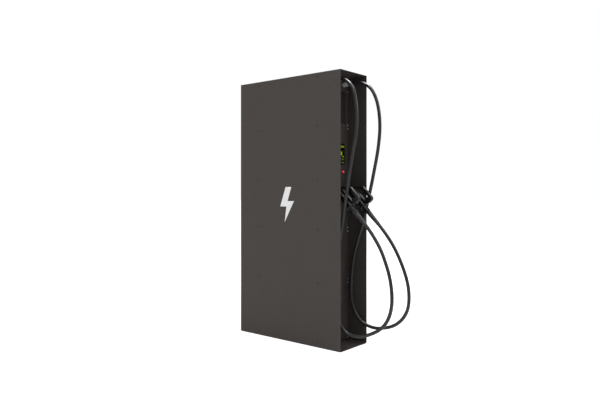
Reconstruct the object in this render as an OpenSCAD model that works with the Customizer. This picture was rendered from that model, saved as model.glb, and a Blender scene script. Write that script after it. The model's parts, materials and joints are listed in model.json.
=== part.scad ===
// Free-standing two-cable vehicle charging station in a slim sheet-metal cabinet.
// The origin is the middle of the cabinet's footprint, on the floor.
// X runs across the front, the front faces -Y and Z points up. Lengths are in millimetres.

/* [Cabinet] */
// Height over the roof
cabinet_h = 1800; // [1700:10:1950]
// Width over the two side panels
cabinet_w = 300; // [296:2:350]
// Depth along the side panels
cabinet_d = 900; // [860:10:1000]
// Thickness of the side panels and the roof
sheet_t = 3; // [2.5:0.5:4]
// Depth of the open recess in front of the front plates
recess_d = 150; // [130:5:160]
// Depth of the open recess behind the back plates
back_recess_d = 150; // [100:5:200]
// Radius of the side panels' lower corners
corner_r = 8; // [3:1:20]
// Thickness of the floor plate
floor_t = 6; // [5:1:10]
// Distance of the anchor holes from the cabinet's sides
anchor_side = 50; // [45:1:75]
// Distance of the anchor holes from the cabinet's front and back edges
anchor_end = 250; // [220:5:300]
// Radius of each anchor hole
anchor_r = 7; // [5:0.5:9]

/* [Chassis] */
// Width of each upright tube, across the cabinet
upright_w = 30; // [24:1:31]
// Depth of each upright tube
upright_d = 50; // [44:1:60]
// Wall of the chassis tubes
tube_t = 2; // [1.5:0.5:3]
// Height of a rail
rail_h = 40; // [34:1:44]
// Thickness of a rail
rail_t = 20; // [16:1:24]
// Height of the rails under the roof
top_rail_h = 24; // [18:1:26]

/* [Front plates] */
// Thickness of the front and back plates
plate_t = 2; // [1.5:0.5:3]
// Gap between one plate and the next
plate_gap = 1.5; // [0.5:0.5:3]
// Gap between a plate and each side panel
plate_side_gap = 1; // [0.5:0.5:2]
// Height of the plate that carries the cable glands
gland_plate_h = 79; // [74:1:90]
// Height of the plate with the air grille
vent_plate_h = 253; // [250:1:280]
// Height of the display plate
display_plate_h = 352; // [300:1:370]
// Height of the plate that carries the holsters
holster_plate_h = 352; // [320:1:370]
// Height of the upper service plate
service_plate_h = 352; // [300:1:370]
// Distance from a plate's end to its screws
screw_inset = 12.5; // [10:0.5:16]
// Distance from a plate's side to its screws
screw_side = 6; // [5:0.5:12]

/* [Screws] */
// Radius of a screw's thread
thread_r = 2.5; // [2:0.25:3]
// Radius of a pan head
pan_r = 4.6; // [4:0.2:5]
// Height of a pan head
pan_h = 2.6; // [2:0.2:3.5]
// Radius of a countersunk head
sink_r = 5.2; // [4.5:0.1:6]
// Height of a countersunk head
sink_h = 2.2; // [1.8:0.1:2.4]
// Length of a screw under its head
screw_l = 9; // [8:0.5:12]
// Distance of the side panel screws behind the front and back plates
side_screw_set = 32; // [26:1:36]

/* [Air grille] */
// Distance of the air grille's opening from the cabinet's sides
vent_side = 34; // [33:1:45]
// Height of the air grille's opening
vent_h = 218; // [206:2:222]
// Height of the opening's middle over the middle of its plate
vent_rise = 3; // [-2:1:4]
// Distance from one grille blade to the next
blade_pitch = 8; // [6:0.5:12]
// Thickness of a grille blade
blade_t = 1.6; // [1:0.2:2.4]
// Depth of a grille blade
blade_d = 8; // [5:0.5:9]
// Slant of the grille blades
blade_tilt = 30; // [10:5:45]
// Width of the grille's rim behind the plate
grille_rim = 5; // [4:1:5]

/* [Fan] */
// Side of the square fan frame
fan_size = 200; // [180:2:204]
// Depth of the fan
fan_depth = 46; // [40:1:50]
// Thickness of the fan frame where the air bore is widest
fan_wall = 6; // [4:1:10]
// Radius of the fan's hub
fan_hub_r = 36; // [30:1:42]
// Number of fan blades
fan_blades = 7; // [5:1:9]
// Gap between the blade tips and the bore
fan_tip_gap = 3; // [2:0.5:6]
// Radius of the fan shaft
fan_shaft_r = 4; // [3:0.5:6]

/* [Display] */
// Distance of the display glass from the cabinet's sides
glass_side = 45; // [38:1:60]
// Height of the display glass
glass_h = 142; // [120:2:164]
// Thickness of the display glass
glass_t = 4; // [3:0.5:5]
// Clearance round the display glass
glass_fit = 0.3; // [0.2:0.1:0.6]
// Height of the glass over the lower end of its plate
glass_rise = 90; // [75:1:100]
// Depth of the display module behind the plate
display_d = 16; // [12:1:19]

/* [Stop button] */
// Distance of the stop button from the cabinet's side
button_side = 71; // [60:1:90]
// Height of the stop button over the lower end of the display plate
button_rise = 42.5; // [42:0.5:48]
// Radius of the button cap
button_r = 10.4; // [9:0.2:10.6]
// How far the cap stands out of its collar
button_out = 9; // [5.5:0.5:11]
// Radius of the button's collar
bezel_r = 14; // [13.5:0.5:17]
// How far the collar stands out of the plate
bezel_out = 2; // [1.5:0.5:4]
// Travel of the stop button
button_travel = 4; // [2:0.5:5]
// Clearance between the cap and its collar
button_fit = 0.4; // [0.2:0.1:0.6]
// Width of the switch behind the button
switch_w = 26; // [26:1:30]
// Depth of the switch behind the button
switch_l = 46; // [40:1:50]

/* [Cable glands] */
// Radius of a charging cable
cable_r = 11; // [10:0.5:11]
// Distance of each gland from the cabinet's side
gland_side = 55; // [54:1:62]
// Depth of the gland's axis below the roof
gland_drop = 47; // [44:1:50]
// Radius of the gland's dome nut
gland_r = 16.5; // [16:0.5:18]
// Length of the gland's dome nut
gland_nut_l = 28; // [22:1:34]
// Thickness of the gland's hexagon flange
gland_hex_t = 9; // [6:1:12]
// Clearance between a cable and what it enters
cable_fit = 0.3; // [0.2:0.1:0.5]

/* [Connectors] */
// Distance of each connector from the cabinet's side
connector_side = 76; // [74:1:84]
// Height of the connectors' middle over the lower end of the holster plate
connector_rise = 240; // [200:5:260]
// Slope of the grips below the horizontal
grip_tilt = 45; // [40:1:50]
// Distance of the grip's upper end from the holster plate
grip_reach = 100; // [96:1:110]
// Width of a connector's nose housing
nose_w = 64; // [60:1:66]
// Height of a connector's nose housing and of its holster
nose_h = 104; // [100:1:108]
// Radius of the barrel that the cable enters
barrel_r = 22; // [21:0.5:24]
// Length of the barrel along the slope
barrel_l = 108; // [104:1:116]
// Width of the grip loop
grip_w = 26; // [24:1:30]
// Thickness of the loop's upper bar
bar_t = 20; // [16:1:22]
// Height of the grip loop's top over the barrel's axis
grip_top = 92; // [90:1:96]
// Height of the grip loop's foot over the barrel's axis
grip_foot = 23; // [20:1:23]
// Length of the grip loop along the slope
grip_l = 127; // [124:1:130]
// Thickness of the loop's lower end
grip_end = 18; // [17:1:22]
// Thickness of the loop along the barrel
grip_root = 13; // [11:1:14]
// Radius of the loop's lower corner, next to the clamp nut
grip_corner_r = 34; // [33:1:38]
// Radius of the loop's outer corner
grip_nose_r = 22; // [12:1:26]
// Travel of the release trigger
trigger_travel = 4; // [2:0.5:5]
// Width of the release trigger
trigger_w = 18; // [14:1:19]
// Height of the release trigger, square to the slope
trigger_h = 27; // [20:1:28]
// How far the trigger stands out into the loop
trigger_out = 25; // [15:1:26]
// How far the trigger sits in its slot
trigger_seat = 4; // [3:0.5:5]
// Clearance round the release trigger
trigger_fit = 0.4; // [0.3:0.1:0.6]
// Radius of the clamp nut's flange
flange_r = 26; // [25:0.5:28]
// Length of the clamp nut behind its flange
clamp_l = 48; // [40:1:56]
// Radius of the clamp nut
clamp_r = 18.5; // [18:0.5:20]
// Number of ribs round the clamp nut
clamp_ribs = 18; // [12:1:24]
// Length of the bend protection boot
boot_l = 105; // [96:1:106]
// Radius of the boot's thick end
boot_r = 15.5; // [14.5:0.5:17]
// Depth of the blind hole that takes the cable
cable_socket_l = 25; // [20:1:25]

/* [Holsters] */
// Width of a holster
holster_w = 72; // [66:1:76]
// Depth of a holster, out from its plate
holster_d = 40; // [36:1:44]
// Radius of the round upper part of the contact insert
insert_r = 27; // [24:0.5:28]
// Clearance between the insert and its holster
insert_fit = 1; // [0.5:0.25:1.5]
// Length of the insert that goes into the holster
insert_l = 30; // [26:1:32]
// Distance between the two power contacts
power_pitch = 28; // [26:1:30]
// Radius of the insert round a power contact
power_r = 13; // [12:0.5:14]
// Distance of the insert from the ends of the nose
insert_rim = 5; // [4:0.5:8]

/* [Emblem] */
// Height of the lightning bolt
bolt_h = 240; // [160:5:280]
// Height of the bolt's middle over the floor
bolt_z = 932; // [800:2:1100]
// Thickness of the bolt's inlaid sheet
bolt_t = 1.5; // [1:0.25:2]
// Clearance round the bolt
bolt_fit = 0.2; // [0.1:0.1:0.4]

/* [Back] */
// Height of the lower back plate's upper end
back_split = 761; // [700:1:800]
// Width of an air louvre
louvre_w = 190; // [150:5:210]
// Depth of an air louvre
louvre_d = 9; // [6:0.5:12]
// Height of an air louvre
louvre_h = 13; // [10:0.5:16]
// Distance from one louvre to the next
louvre_pitch = 24; // [20:1:30]
// Number of louvres on each back plate
louvre_count = 9; // [5:1:12]
// Distance of the upper louvres from the roof's underside
louvre_upper_drop = 70; // [60:5:100]
// Distance of the lower louvres from the plates' joint
louvre_lower_drop = 90; // [70:5:120]

/* [Inside] */
// Width of a power module
module_w = 220; // [200:2:226]
// Height of a power module
module_h = 84; // [70:1:88]
// Distance of the power modules behind the front plates
module_end = 78; // [72:1:108]
// Height of the lowest shelf over the floor
shelf_z = 440; // [432:2:450]
// Distance from one shelf to the next
shelf_pitch = 112; // [112:1:120]
// Thickness of a shelf
shelf_t = 2; // [1.5:0.5:3]
// Height of a shelf rail
shelf_rail_h = 20; // [14:1:20]
// Thickness of the mounting plate
mount_t = 3; // [2:0.5:4]
// Distance of the controller board from the mounting plate
standoff_h = 12; // [8:1:16]
// Width of the controller board
board_w = 160; // [120:5:190]
// Height of the controller board
board_h = 120; // [100:5:160]
// Thickness of the controller board
board_t = 1.6; // [1.2:0.2:2.4]
// Radius of a contactor
contactor_r = 30; // [22:1:34]
// Length of a contactor
contactor_l = 70; // [50:2:80]
// Distance of each contactor from the cabinet's middle
contactor_x = 50; // [38:1:60]
// Number of terminals
terminal_count = 10; // [6:1:11]
// Distance from one terminal to the next
terminal_pitch = 18; // [14:1:18]
// Height of a terminal
terminal_h = 52; // [40:2:60]
// Depth of a terminal
terminal_d = 40; // [30:2:50]
// Radius of the bore of the supply cable's gland
supply_r = 20; // [14:0.5:22]
// Distance of the supply gland behind the cabinet's middle
supply_y = 120; // [80:5:160]

/* [Hidden] */

$fn = 64;
eps = 0.01;

// Colours of the finished surfaces
PAINT = "#4b4744";
BLACK = "#1c1c1d";
CABLE = "#353536";
NICKEL = "#c9c8c4";
STEEL = "#8e9092";

// Cabinet planes and inner sizes
inner_w = cabinet_w - 2 * sheet_t;
half_w = cabinet_w / 2;
roof_z = cabinet_h - sheet_t;
front_y = -cabinet_d / 2 + recess_d;
back_y = cabinet_d / 2 - back_recess_d;
rail_x = inner_w / 2 - upright_w;
plate_w = inner_w - 2 * plate_side_gap;
screw_x = plate_w / 2 - screw_side;
post_front = front_y + plate_t;
post_back = back_y - plate_t;

// Places measured in from the cabinet's sides
anchor_x = half_w - anchor_side;
anchor_y = cabinet_d / 2 - anchor_end;
vent_w = cabinet_w - 2 * vent_side;
glass_w = cabinet_w - 2 * glass_side;
button_x = half_w - button_side;
gland_x = half_w - gland_side;
connector_x = half_w - connector_side;
module_l = post_back - post_front - 2 * module_end;
fan_bore_r = fan_size / 2 - fan_wall;
display_rim = 5;
display_gap = 0.5;

// Ends of the front plates, from the roof down
z_gland = roof_z - gland_plate_h;
z_vent = z_gland - vent_plate_h;
z_display = z_vent - display_plate_h;
z_holster = z_display - holster_plate_h;
z_service = z_holster - service_plate_h;
z_bottom = floor_t;
plate_ends = [roof_z, z_gland, z_vent, z_display, z_holster, z_service, z_bottom];

side_screw_z = [
    floor_t + rail_h / 2 + 3, z_service + 12, z_holster + 10,
    z_display - 10, z_vent - 11, roof_z - top_rail_h + 3
];
side_screw_ends = [post_front + side_screw_set, post_back - side_screw_set];

// Places of what the plates carry
vent_z = (z_gland + z_vent) / 2 + vent_rise;
// Rails stand behind the joints of the plates, the highest one clear of the air grille
rail_levels = [
    z_service, z_holster, z_display,
    vent_z - vent_h / 2 - grille_rim - 0.5 - rail_h / 2
];
glass_z = z_display + glass_rise + glass_h / 2;
button_z = z_display + button_rise;
gland_z = roof_z - gland_drop;
connector_z = z_holster + connector_rise;
fan_y = front_y + plate_t + blade_t;

// Grip loop, measured along the slope and square to it
grip_inner_top = grip_top - bar_t;
grip_inner_foot = grip_foot + grip_root;
nose_front = grip_reach - 15;
nose_back = holster_d + 1;
boot_start = barrel_l + 6 + clamp_l;
boot_end = boot_start + boot_l;
trigger_low = grip_inner_foot + 3;
trigger_high = trigger_low + trigger_h;
trigger_face = grip_l - grip_end - trigger_out;
trigger_back = grip_l - grip_end + trigger_seat;

// Routes of the two charging cables, from inside the gland to inside the boot
left_route = [
    [-95, -290, 1750], [-95, -350, 1750], [-95, -400, 1749], [-95, -440, 1741],
    [-96, -475, 1720], [-97, -503, 1688], [-98, -522, 1645], [-99, -533, 1590],
    [-101, -541, 1520], [-103, -542, 1440], [-104, -534, 1365], [-107, -519, 1290],
    [-109, -504, 1210], [-112, -490, 1125], [-113, -477, 1035], [-114, -462, 945],
    [-114, -445, 855], [-114, -427, 765], [-114, -409, 670], [-114, -393, 570],
    [-113, -383, 470], [-113, -380, 375], [-112, -387, 280], [-111, -405, 200],
    [-109, -435, 145], [-107, -480, 115], [-105, -535, 109], [-103, -595, 118],
    [-101, -650, 140], [-98, -705, 172], [-96, -750, 218], [-94, -778, 275],
    [-91, -790, 345], [-87, -785, 425], [-83, -768, 505], [-79, -740, 580],
    [-76, -700, 665], [-74, -645, 745], [-74, -589, 812], [-74, -572, 829]
];
right_route = [
    [95, -290, 1750], [95, -350, 1750], [95, -405, 1750], [96, -450, 1744],
    [96, -490, 1725], [97, -523, 1694], [97, -549, 1650], [98, -568, 1597],
    [100, -580, 1530], [102, -584, 1455], [103, -580, 1380], [106, -564, 1280],
    [110, -540, 1180], [112, -516, 1080], [114, -491, 985], [114, -469, 900],
    [114, -443, 805], [114, -410, 710], [113, -383, 625], [113, -364, 540],
    [112, -353, 440], [112, -350, 340], [111, -362, 255], [110, -395, 190],
    [109, -440, 150], [107, -500, 128], [105, -560, 125], [104, -620, 136],
    [102, -680, 157], [100, -730, 190], [97, -770, 235], [94, -796, 290],
    [91, -805, 360], [87, -799, 435], [83, -779, 510], [80, -745, 592],
    [76, -700, 676], [74, -645, 750], [74, -589, 812], [74, -572, 829]
];
cable_sides = 12;

// The places of the glands, plates and boots that the routes were chosen for
route_gland = [95, -300, 1750];
route_grip = [74, -400, 1001];
route_boot = 267;
route_end_z = 812;
route_last = 17;
// Shift of a route's two ends from those places
start_shift = [gland_x - route_gland[0], front_y - route_gland[1], gland_z - route_gland[2]];
end_shift = [
    connector_x - route_grip[0],
    front_y - grip_reach - route_grip[1] + route_boot * cos(45) - boot_end * cos(grip_tilt),
    connector_z - route_grip[2] + route_boot * sin(45) - boot_end * sin(grip_tilt)
];
// A route moved with its ends, with its lowest part kept off the floor
function fitted(route, side) =
    let (
        n = len(route) - 1,
        moved = [for (i = [0 : n - 1])
            let (t = i / (n - 1), d = start_shift * (1 - t) + end_shift * t, p = route[i])
            [p[0] + side * d[0], p[1] + d[1],
                p[2] > route_end_z ? p[2] + d[2] : p[2] * (route_end_z + d[2]) / route_end_z]],
        last = route_last / cos(45) * [0, cos(grip_tilt), sin(grip_tilt)]
    )
    [each moved, moved[n - 1] + last];

// Vector helpers
function unit(v) = v / norm(v);
function tangent(p, i) =
    i == 0 ? unit(p[1] - p[0])
    : i == len(p) - 1 ? unit(p[i] - p[i - 1])
    : unit(unit(p[i] - p[i - 1]) + unit(p[i + 1] - p[i]));

// A ring of points round a route's point, in the plane square to the route
function ring_points(c, t, r, n) =
    let (side = unit([1, 0, 0] - t[0] * t), up = cross(side, t))
    [for (i = [0 : n - 1]) c + r * (cos(360 * i / n) * side + sin(360 * i / n) * up)];

// Points of one rounded corner p between its neighbours a and b
function corner_arc(a, p, b, r, n) =
    let (
        u = unit(a - p),
        v = unit(b - p),
        half = acos(u * v) / 2,
        c = p + unit(u + v) * r / sin(half),
        d = unit(p + u * r / tan(half) - c),
        e = unit(p + v * r / tan(half) - c)
    )
    [for (i = [0 : n]) c + r * unit(d * (1 - i / n) + e * i / n)];
function rounded_outline(p, r, n) =
    [for (i = [0 : len(p) - 1])
        each corner_arc(p[(i + len(p) - 1) % len(p)], p[i], p[(i + 1) % len(p)], r[i], n)];

// A closed outline, listed counter-clockwise, moved outward by c
function outward(a, b) = let (u = unit(b - a)) [u[1], -u[0]];
function grown(p, c) =
    [for (i = [0 : len(p) - 1])
        let (
            m = outward(p[(i + len(p) - 1) % len(p)], p[i]),
            n = outward(p[i], p[(i + 1) % len(p)])
        )
        p[i] + c * (m + n) / (1 + m * n)];
// The bolt's points as shares of its height
bolt_points = [
    [-0.158, 0.5], [-0.017, 0.1], [-0.258, 0.1], [0.092, -0.5],
    [0.025, -0.058], [0.258, -0.058], [0.058, 0.5]
];

// A point of the grip, v square to the slope and w along it, as [outward, up]
function grip_point(v, w) = [
    w * cos(grip_tilt) + v * sin(grip_tilt),
    v * cos(grip_tilt) - w * sin(grip_tilt)
];
// The point of a line along the slope at height v that reaches the level b
function level_point(v, b) = grip_point(v, (v * cos(grip_tilt) - b) / sin(grip_tilt));

// Sheet and tube helpers
module across(w) {
    rotate([90, 0, 90]) linear_extrude(w) children();
}
module plate_profile(y, t) {
    translate([0, y + t, 0]) rotate([90, 0, 0]) linear_extrude(t) children();
}
module rounded_rect(w, h, r) {
    square([w - 2 * r, h], center = true);
    square([w, h - 2 * r], center = true);
    for (x = [-1, 1], y = [-1, 1]) {
        translate([x * (w / 2 - r), y * (h / 2 - r)]) circle(r, $fn = 32);
    }
}
module box_tube(x, y, z) {
    // a square tube along Z with its wall inside the given size
    linear_extrude(z) difference() {
        square([x, y], center = true);
        square([x - 2 * tube_t, y - 2 * tube_t], center = true);
    }
}

// Screws point along +Z, with the head's seat at z = 0
module pan_screw() {
    difference() {
        union() {
            cylinder(h = screw_l, r = thread_r, $fn = 24);
            translate([0, 0, -pan_h]) cylinder(h = pan_h, r1 = pan_r - 0.8, r2 = pan_r, $fn = 32);
        }
        translate([0, 0, -pan_h - eps]) cylinder(h = 1.6, r = 1.7, $fn = 6);
    }
}
module sunk_screw(c = 0) {
    cylinder(h = sink_h, r1 = sink_r + c, r2 = thread_r + c, $fn = 32);
    cylinder(h = screw_l, r = thread_r + c, $fn = 24);
}
module side_screw_places(side) {
    for (y = side_screw_ends, z = side_screw_z) {
        translate([side * half_w, y, z]) rotate([0, -side * 90, 0]) children();
    }
}
module plate_screw_places(upper, lower) {
    for (x = [-screw_x, screw_x]) {
        translate([x, 0, upper - screw_inset]) children();
        if (lower > 0) translate([x, 0, lower + screw_inset]) children();
    }
}
module front_screw_places() {
    plate_screw_places(roof_z, 0) children();
    for (i = [1 : 5]) plate_screw_places(plate_ends[i], plate_ends[i + 1]) children();
}
module back_screw_places() {
    plate_screw_places(roof_z, back_split) children();
    plate_screw_places(back_split, z_bottom) children();
}
module front_screw_shape() {
    translate([0, front_y, 0]) rotate([-90, 0, 0]) children();
}
module back_screw_shape() {
    translate([0, back_y, 0]) rotate([90, 0, 0]) children();
}

// Cabinet
module side_outline() {
    translate([-cabinet_d / 2, corner_r]) square([cabinet_d, cabinet_h - corner_r]);
    translate([-cabinet_d / 2 + corner_r, 0]) square([cabinet_d - 2 * corner_r, 2 * corner_r]);
    for (s = [-1, 1]) translate([s * (cabinet_d / 2 - corner_r), corner_r]) circle(corner_r);
}
module side_sheet(side) {
    difference() {
        translate([side < 0 ? -cabinet_w / 2 : cabinet_w / 2 - sheet_t, 0, 0])
            across(sheet_t) side_outline();
        side_screw_places(side) translate([0, 0, -eps]) sunk_screw(0.1);
    }
}
module bolt_outline(c) {
    translate([0, bolt_z]) polygon(grown(bolt_h * bolt_points, c));
}
module left_side_panel() {
    color(PAINT) difference() {
        side_sheet(-1);
        translate([-cabinet_w / 2 - 1, 0, 0]) across(1 + bolt_t) bolt_outline(bolt_fit);
    }
}
module right_side_panel() {
    color(PAINT) side_sheet(1);
}
module lightning_emblem() {
    color("white") translate([-cabinet_w / 2, 0, 0]) across(bolt_t) bolt_outline(0);
}
module roof_panel() {
    color(PAINT) translate([-inner_w / 2, -cabinet_d / 2, roof_z])
        cube([inner_w, cabinet_d, sheet_t]);
}
module floor_plate() {
    color(PAINT) difference() {
        translate([-inner_w / 2, -cabinet_d / 2, 0]) cube([inner_w, cabinet_d, floor_t]);
        for (x = [-1, 1], y = [-1, 1]) {
            translate([x * anchor_x, y * anchor_y, -1])
                cylinder(h = floor_t + 2, r = anchor_r);
        }
        translate([0, supply_y, -1]) cylinder(h = floor_t + 2, r = supply_r + 6.2);
    }
}
module panel_screws(side) {
    color(STEEL) side_screw_places(side) difference() {
        sunk_screw();
        translate([0, 0, -eps]) cylinder(h = 1.6, r = 1.9, $fn = 6);
    }
}
module left_panel_screws() { panel_screws(-1); }
module right_panel_screws() { panel_screws(1); }
module front_plate_screws() {
    color(NICKEL) front_screw_places() front_screw_shape() pan_screw();
}
module back_plate_screws() {
    color(NICKEL) back_screw_places() back_screw_shape() pan_screw();
}

// Chassis
module upright(sx, sy) {
    y = sy < 0 ? post_front + upright_d / 2 : post_back - upright_d / 2;
    color(STEEL) difference() {
        translate([sx * (inner_w / 2 - upright_w / 2), y, floor_t])
            box_tube(upright_w, upright_d, roof_z - floor_t);
        side_screw_places(sx) sunk_screw(0.1);
        if (sy < 0) front_screw_places() front_screw_shape() cylinder(h = screw_l + 1, r = thread_r + 0.1);
        if (sy > 0) back_screw_places() back_screw_shape() cylinder(h = screw_l + 1, r = thread_r + 0.1);
    }
}
module front_left_upright() { upright(-1, -1); }
module front_right_upright() { upright(1, -1); }
module rear_left_upright() { upright(-1, 1); }
module rear_right_upright() { upright(1, 1); }
module rail_across(y, z0, z1) {
    translate([0, y, (z0 + z1) / 2]) rotate([0, 90, 0]) translate([0, 0, -rail_x])
        box_tube(z1 - z0, rail_t, 2 * rail_x);
}
module rail_along(side, z0, z1) {
    translate([side * (inner_w / 2 - rail_t / 2), post_front + upright_d, (z0 + z1) / 2])
        rotate([-90, 0, 0])
        box_tube(rail_t, z1 - z0, post_back - post_front - 2 * upright_d);
}
module cross_rails() {
    color(STEEL) for (y = [post_front + rail_t / 2, post_back - rail_t / 2]) {
        rail_across(y, floor_t, floor_t + rail_h);
        rail_across(y, roof_z - top_rail_h, roof_z);
        for (z = rail_levels) rail_across(y, z - rail_h / 2, z + rail_h / 2);
    }
}
module side_rails() {
    color(STEEL) for (s = [-1, 1]) {
        rail_along(s, floor_t, floor_t + rail_h);
        rail_along(s, roof_z - top_rail_h, roof_z);
        for (z = rail_levels) rail_along(s, z - rail_h / 2, z + rail_h / 2);
        for (i = [0 : 2]) rail_along(s, shelf_z + i * shelf_pitch - shelf_rail_h, shelf_z + i * shelf_pitch);
    }
}

// Front plates
module front_plate(upper, lower) {
    difference() {
        translate([-plate_w / 2, front_y, lower + plate_gap])
            cube([plate_w, plate_t, upper - lower - plate_gap]);
        front_screw_places() front_screw_shape() translate([0, 0, -1])
            cylinder(h = plate_t + 2, r = thread_r + 0.2);
    }
}
module gland_plate() {
    color(PAINT) difference() {
        front_plate(roof_z, z_gland);
        for (s = [-1, 1]) translate([s * gland_x, front_y - 1, gland_z]) rotate([-90, 0, 0])
            cylinder(h = plate_t + 2, r = cable_r + 2.2);
    }
}
module vent_plate() {
    color(PAINT) difference() {
        front_plate(z_gland, z_vent);
        translate([-vent_w / 2, front_y - 1, vent_z - vent_h / 2]) cube([vent_w, plate_t + 2, vent_h]);
    }
}
// Slanted upright blades in a thin rim, seated on the back of the vent plate
module air_grille() {
    n = floor((vent_w - 2 * blade_pitch) / blade_pitch / 2);
    color(BLACK) {
        translate([0, 0, vent_z]) plate_profile(front_y + plate_t, blade_t) difference() {
            square([vent_w, vent_h + 2 * grille_rim], center = true);
            square([vent_w - blade_pitch, vent_h - 2], center = true);
        }
        intersection() {
            translate([-vent_w / 2, front_y - eps, vent_z - vent_h / 2 + 0.2])
                cube([vent_w, plate_t + blade_t, vent_h - 0.4]);
            for (i = [-n : n]) translate([i * blade_pitch, front_y + plate_t, vent_z])
                rotate([0, 0, blade_tilt]) cube([blade_t, blade_d, vent_h], center = true);
        }
        for (k = [-1 : 1]) translate([-vent_w / 2 + 1, front_y + plate_t, vent_z + k * vent_h / 4 - 1.5])
            cube([vent_w - 2, blade_t, 3]);
    }
}
module display_plate() {
    color(PAINT) difference() {
        front_plate(z_vent, z_display);
        translate([-glass_w / 2 - glass_fit, front_y - 1, glass_z - glass_h / 2 - glass_fit])
            cube([glass_w + 2 * glass_fit, plate_t + 2, glass_h + 2 * glass_fit]);
        translate([button_x, front_y - 1, button_z]) rotate([-90, 0, 0])
            cylinder(h = plate_t + 2, r = button_r + button_fit + 1.7);
    }
}
module holster_plate() { color(PAINT) front_plate(z_display, z_holster); }
module upper_service_plate() { color(PAINT) front_plate(z_holster, z_service); }
module lower_service_plate() { color(PAINT) front_plate(z_service, z_bottom); }

// Back plates with pressed louvres that open downwards
module louvre_hood() {
    outward = [[0, 0], [louvre_d, -louvre_h + 3], [louvre_d, -louvre_h],
        [louvre_d - 1.2, -louvre_h], [louvre_d - 1.2, -louvre_h + 3.4], [0, -1.8]];
    translate([-louvre_w / 2, back_y, 0]) across(louvre_w) polygon(outward);
}
module back_plate(upper, lower, louvre_top) {
    color(PAINT) difference() {
        union() {
            translate([-plate_w / 2, back_y - plate_t, lower + plate_gap])
                cube([plate_w, plate_t, upper - lower - plate_gap]);
            for (i = [0 : louvre_count - 1]) translate([0, 0, louvre_top - i * louvre_pitch])
                louvre_hood();
        }
        back_screw_places() back_screw_shape() translate([0, 0, -1])
            cylinder(h = plate_t + 2, r = thread_r + 0.2);
        for (i = [0 : louvre_count - 1])
            translate([-louvre_w / 2 + 2, back_y - plate_t - 1, louvre_top - i * louvre_pitch - louvre_h + 1])
                cube([louvre_w - 4, plate_t + 1.05, louvre_h - 3.5]);
    }
}
module back_vent_plate() { back_plate(roof_z, back_split, roof_z - louvre_upper_drop); }
module back_service_plate() { back_plate(back_split, z_bottom, back_split - louvre_lower_drop); }

// Display
module display_glass() {
    color("#050505") translate([-glass_w / 2, front_y, glass_z - glass_h / 2])
        cube([glass_w, glass_t, glass_h]);
}
module display_module() {
    half = rail_x - display_gap;
    color("#2c2f31") translate([0, 0, glass_z]) difference() {
        translate([-half, front_y + plate_t, -glass_h / 2 - display_rim])
            cube([2 * half, display_d, glass_h + 2 * display_rim]);
        translate([-glass_w / 2 - glass_fit, front_y + plate_t - 1, -glass_h / 2 - glass_fit])
            cube([glass_w + 2 * glass_fit, 1 + glass_t - plate_t, glass_h + 2 * glass_fit]);
    }
}

// Stop button, along +Y from the front
module at_button() {
    translate([button_x, front_y, button_z]) rotate([-90, 0, 0]) children();
}
button_back = 6;
module stop_button_cap() {
    stem = bezel_out + button_back;
    color("#d01414") at_button() translate([0, 0, -bezel_out - button_out]) rotate_extrude()
        polygon([
            [0, 0], [button_r * 0.55, 0.5], [button_r * 0.85, 1.6], [button_r, 3.4],
            [button_r, button_out + stem], [0, button_out + stem]
        ]);
}
module stop_button_collar() {
    r_in = button_r + button_fit;
    color(NICKEL) at_button() rotate_extrude() polygon([
        [r_in, -bezel_out], [bezel_r - 1.5, -bezel_out], [bezel_r, -bezel_out + 1.2], [bezel_r, 0],
        [r_in + 1.5, 0], [r_in + 1.5, button_back + 6], [r_in, button_back + 6]
    ]);
}
module stop_button_switch() {
    seat = button_back + button_travel + 0.5;
    r_in = button_r + button_fit;
    color(BLACK) at_button() difference() {
        translate([-switch_w / 2, -switch_w / 2, plate_t]) cube([switch_w, switch_w, switch_l]);
        translate([0, 0, plate_t - 1]) cylinder(h = button_back + 7 - plate_t, r = r_in + 1.6);
        cylinder(h = seat, r = r_in);
        for (x = [-1, 1]) translate([x * switch_w / 4 - 2, -switch_w / 2 - 1, plate_t + switch_l - 8])
            cube([4, switch_w + 2, 9]);
    }
}

// Cable glands
module at_gland(s) {
    translate([s * gland_x, front_y, gland_z]) rotate([90, 0, 0]) children();
}
module gland_body(s) {
    neck = cable_r + 2;
    color(NICKEL) at_gland(s) difference() {
        union() {
            cylinder(h = gland_hex_t, r = gland_r * 1.1, $fn = 6);
            translate([0, 0, -plate_t - 9]) cylinder(h = plate_t + 10, r = neck);
        }
        translate([0, 0, -plate_t - 10]) cylinder(h = plate_t + gland_hex_t + 12, r = cable_r + cable_fit);
    }
}
module gland_nut(s) {
    r_in = cable_r + cable_fit;
    color(NICKEL) at_gland(s) translate([0, 0, gland_hex_t]) difference() {
        union() {
            cylinder(h = gland_nut_l * 0.45, r = gland_r * 1.06, $fn = 6);
            rotate_extrude() polygon([
                [0, 0], [gland_r * 0.96, 0], [gland_r * 0.96, gland_nut_l * 0.5],
                [gland_r * 0.9, gland_nut_l * 0.75], [r_in + 2, gland_nut_l], [0, gland_nut_l]
            ]);
        }
        translate([0, 0, -1]) cylinder(h = gland_nut_l + 2, r = r_in);
    }
}
module left_gland_body() { gland_body(-1); }
module right_gland_body() { gland_body(1); }
module left_gland_nut() { gland_nut(-1); }
module right_gland_nut() { gland_nut(1); }
module gland_locknuts() {
    color(NICKEL) for (s = [-1, 1]) at_gland(s) translate([0, 0, -plate_t - 6]) difference() {
        cylinder(h = 6, r = gland_r * 1.08, $fn = 6);
        translate([0, 0, -1]) cylinder(h = 8, r = cable_r + 2.05);
    }
}

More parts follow.
